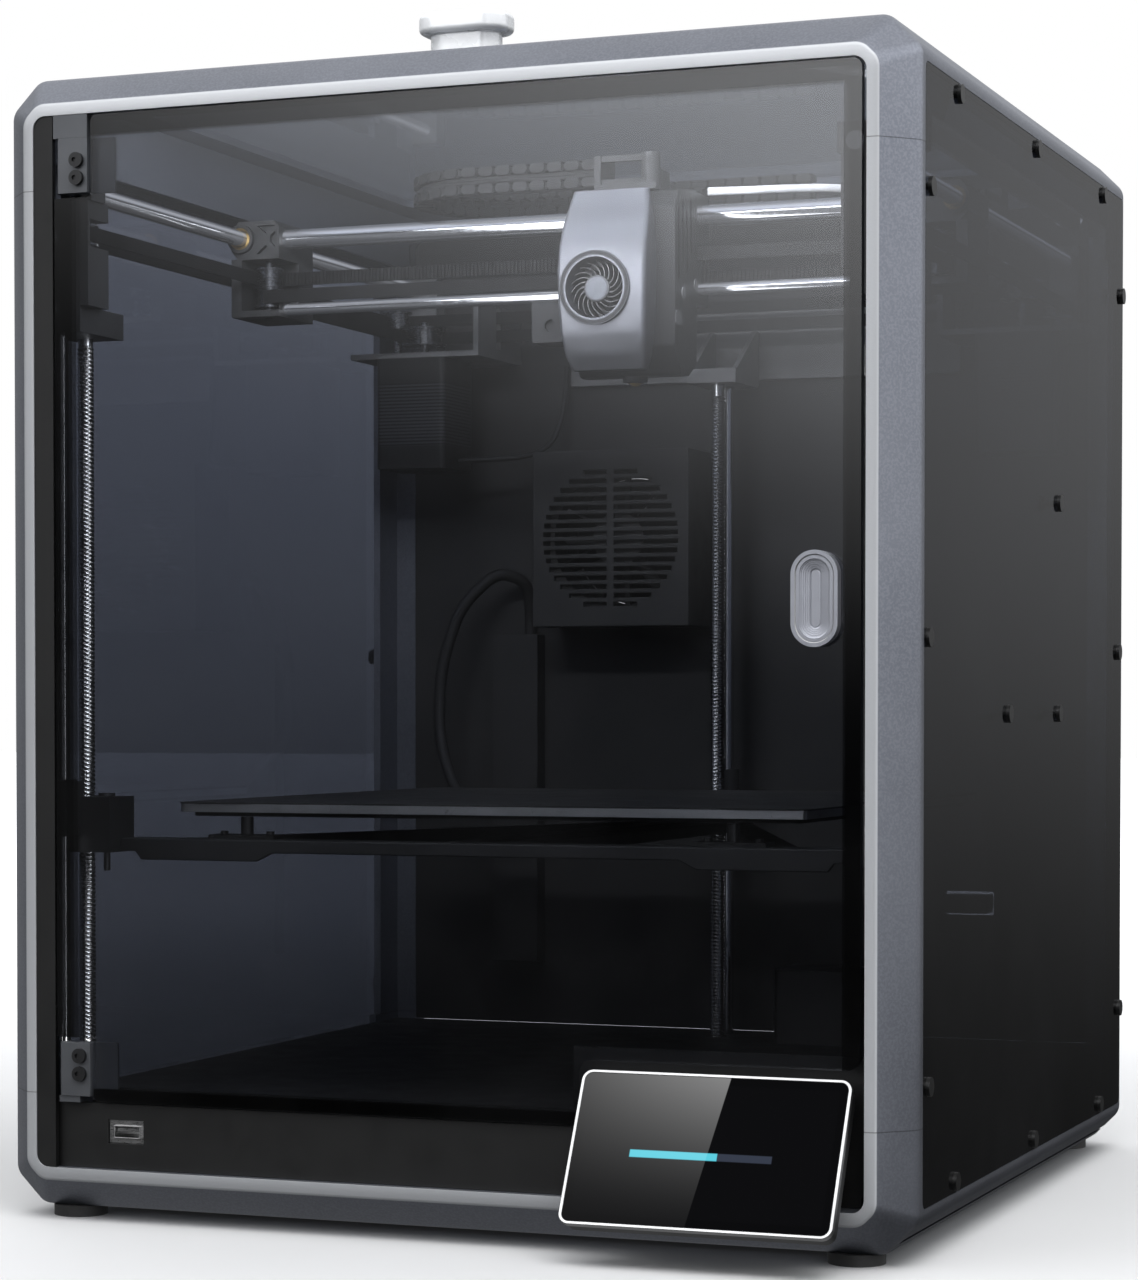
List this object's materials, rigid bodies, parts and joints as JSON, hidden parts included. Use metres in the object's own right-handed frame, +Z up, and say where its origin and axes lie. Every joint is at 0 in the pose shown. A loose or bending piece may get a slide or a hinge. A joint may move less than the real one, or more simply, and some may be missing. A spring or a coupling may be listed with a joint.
{
  "type": "fdm printer",
  "caption": "Enclosed desktop filament printer: pale cube casing with smoked door, lid and side windows, belt-driven gantry over a lifting heated bed, and a tilted touch display at the front.",
  "frame": {"origin": "middle of the bounding box's footprint, on the surface the feet stand on", "axes": "+X to the right seen from the door, +Y from the door to the back, +Z up"},
  "size_m": [0.4384, 0.481, 0.5467],
  "materials": {
    "frame_paint": "fine satin powder coat",
    "smoked_acrylic": "polished smoked sheet",
    "smoked_acrylic_lid": "polished smoked sheet",
    "screw_steel": "satin zinc",
    "black_trim": "fine matt grain",
    "connector_metal": "stamped shell",
    "zinc_hinge": "satin grey",
    "door_glass": "tinted tempered pane",
    "dark_gloss": "gloss",
    "bezel_metal": "bead blasted",
    "screen_glass": "gloss cover glass",
    "screen_shell": "satin",
    "sheet_black": "matt powder coat",
    "foot_rubber": "soft matt",
    "black_plastic": "matt",
    "fan_plastic": "satin",
    "socket_plastic": "satin gloss",
    "switch_plastic": "gloss",
    "motor_steel": "black laminations and bare caps",
    "bracket_steel": "zinc plated",
    "pulley_aluminium": "machined",
    "belt_rubber": "toothed rubber",
    "rod_chrome": "ground",
    "screw_thread_steel": "rolled thread",
    "electronics_mix": "perforated case",
    "plate_coating": "textured coating",
    "bed_aluminium": "milled",
    "insulation_foam": "foam mat",
    "bed_frame_paint": "matt",
    "carrier_aluminium": "cast and bead blasted",
    "carriage_plastic": "glass-filled",
    "toolhead_black": "satin",
    "toolhead_silver": "satin silver",
    "nozzle_brass": "machined",
    "chain_plastic": "satin",
    "cable_jacket": "matt jacket",
    "tube_ptfe": "milky tube",
    "knob_plastic": "satin"
  },
  "bodies": {
    "chassis": {"base_frame": "frame_paint", "bed_cable": "cable_jacket", "belt_idlers": "pulley_aluminium", "belt_side_runs": "belt_rubber", "corner_posts": "frame_paint", "drive_brackets": "bracket_steel", "electronics": "electronics_mix", "exhaust_fan_frame": "black_plastic", "feet": "foot_rubber", "filament_tube_rear": "tube_ptfe", "floor_plates": "sheet_black", "front_trim": "black_trim", "guide_rods": "rod_chrome", "hinge_brackets": "zinc_hinge", "motor_lead": "cable_jacket", "panel_screws": "screw_steel", "power_inlet": "socket_plastic", "rear_panel": "sheet_black", "rear_wall_housings": "black_plastic", "screen_bezel": "bezel_metal", "screen_glass": "screen_glass", "screen_housing": "screen_shell", "side_panel_left": "smoked_acrylic", "side_panel_right": "smoked_acrylic", "stepper_motors": "motor_steel", "timing_belts": "belt_rubber", "top_frame": "frame_paint", "usb_port": "connector_metal", "z_bearings": "bracket_steel"},
    "door": {"door_glass": "door_glass", "door_handle": "dark_gloss", "hinge_plates": "zinc_hinge"},
    "lid": {"lid_panel": "smoked_acrylic_lid", "lid_knob": "knob_plastic"},
    "bed": {"heated_bed": "bed_aluminium", "bed_insulation": "insulation_foam", "bed_frame": "bed_frame_paint", "bed_posts": "screw_steel", "bed_carriers": "carrier_aluminium"},
    "sheet": {"build_plate": "plate_coating"},
    "screw_left": {"lead_screw_front_left": "screw_thread_steel"},
    "screw_right": {"lead_screw_front_right": "screw_thread_steel"},
    "screw_rear": {"lead_screw_rear": "screw_thread_steel"},
    "lift_drive": {"z_motor_pulley": "pulley_aluminium"},
    "gantry": {"gantry_carriages": "carriage_plastic", "x_rods": "rod_chrome", "carriage_idlers": "pulley_aluminium", "x_belts": "belt_rubber", "cable_chain": "chain_plastic", "filament_tube_front": "tube_ptfe"},
    "toolhead": {"toolhead_body": "toolhead_black", "toolhead_cover": "toolhead_silver", "head_fittings": "black_plastic", "nozzle": "nozzle_brass"},
    "cooling_fan": {"fan_impeller": "fan_plastic"},
    "exhaust_fan": {"exhaust_rotor": "fan_plastic"},
    "pulley_left": {"drive_pulley_left": "pulley_aluminium"},
    "pulley_right": {"drive_pulley_right": "pulley_aluminium"},
    "rocker": {"power_switch": "switch_plastic"}
  },
  "joints": [
    {"name": "door_swing", "type": "hinge", "parent": "chassis", "child": "door", "pos_m": [-0.1832, -0.20495, 0.28], "axis": [0, 0, -1], "range_deg": [0, 110]},
    {"name": "lid_lift", "type": "slide", "parent": "chassis", "child": "lid", "axis": [0, 0, 1], "range_m": [0, 0.12]},
    {"name": "bed_lift", "type": "slide", "parent": "chassis", "child": "bed", "axis": [0, 0, 1], "range_m": [-0.0985, 0.199], "deforming": ["bed_cable"]},
    {"name": "sheet_lift", "type": "slide", "parent": "bed", "child": "sheet", "axis": [0, 0, -1], "range_m": [-0.05, 0]},
    {"name": "screw_left_turn", "type": "hinge", "parent": "chassis", "child": "screw_left", "pos_m": [-0.2, -0.15595, 0.205], "axis": [0, 0, 1], "range_deg": [-8990, 4440]},
    {"name": "screw_right_turn", "type": "hinge", "parent": "chassis", "child": "screw_right", "pos_m": [0.2, -0.15595, 0.205], "axis": [0, 0, 1], "range_deg": [-8990, 4440]},
    {"name": "screw_rear_turn", "type": "hinge", "parent": "chassis", "child": "screw_rear", "pos_m": [0, 0.19205, 0.205], "axis": [0, 0, 1], "range_deg": [-8990, 4440]},
    {"name": "lift_drive_turn", "type": "hinge", "parent": "chassis", "child": "lift_drive", "pos_m": [0.062, 0.18405, 0.025], "axis": [0, 0, 1], "range_deg": [-8990, 4440]},
    {"name": "gantry_y", "type": "slide", "parent": "chassis", "child": "gantry", "axis": [0, 1, 0], "range_m": [-0.13, 0.14], "deforming": ["belt_side_runs", "filament_tube_rear"]},
    {"name": "head_x", "type": "slide", "parent": "gantry", "child": "toolhead", "axis": [1, 0, 0], "range_m": [-0.154, 0.105], "deforming": ["cable_chain", "filament_tube_front", "x_belts"]},
    {"name": "cooling_fan_spin", "type": "hinge", "parent": "toolhead", "child": "cooling_fan", "pos_m": [0.024, -0.05795, 0.436], "axis": [0, 1, 0], "continuous": true},
    {"name": "exhaust_fan_spin", "type": "hinge", "parent": "chassis", "child": "exhaust_fan", "pos_m": [-0.061, 0.20705, 0.331], "axis": [0, 1, 0], "continuous": true},
    {"name": "pulley_left_turn", "type": "hinge", "parent": "chassis", "child": "pulley_left", "pos_m": [-0.1722, 0.18305, 0.4466], "axis": [0, 0, 1], "range_deg": [-760, 760]},
    {"name": "pulley_right_turn", "type": "hinge", "parent": "chassis", "child": "pulley_right", "pos_m": [0.1722, 0.18305, 0.4568], "axis": [0, 0, 1], "range_deg": [-760, 760]},
    {"name": "rocker_tilt", "type": "hinge", "parent": "chassis", "child": "rocker", "pos_m": [0.1335, 0.22805, 0.1295], "axis": [1, 0, 0], "range_deg": [0, 8]}
  ],
  "couplings": [
    {"joint": "screw_left_turn", "follows": "bed_lift", "rad_per_m": -785.4},
    {"joint": "screw_right_turn", "follows": "bed_lift", "rad_per_m": -785.4},
    {"joint": "screw_rear_turn", "follows": "bed_lift", "rad_per_m": -785.4},
    {"joint": "lift_drive_turn", "follows": "bed_lift", "rad_per_m": -785.4},
    {"joint": "pulley_left_turn", "follows": "gantry_y", "rad_per_m": -92.593},
    {"joint": "pulley_right_turn", "follows": "gantry_y", "rad_per_m": 92.593}
  ]
}
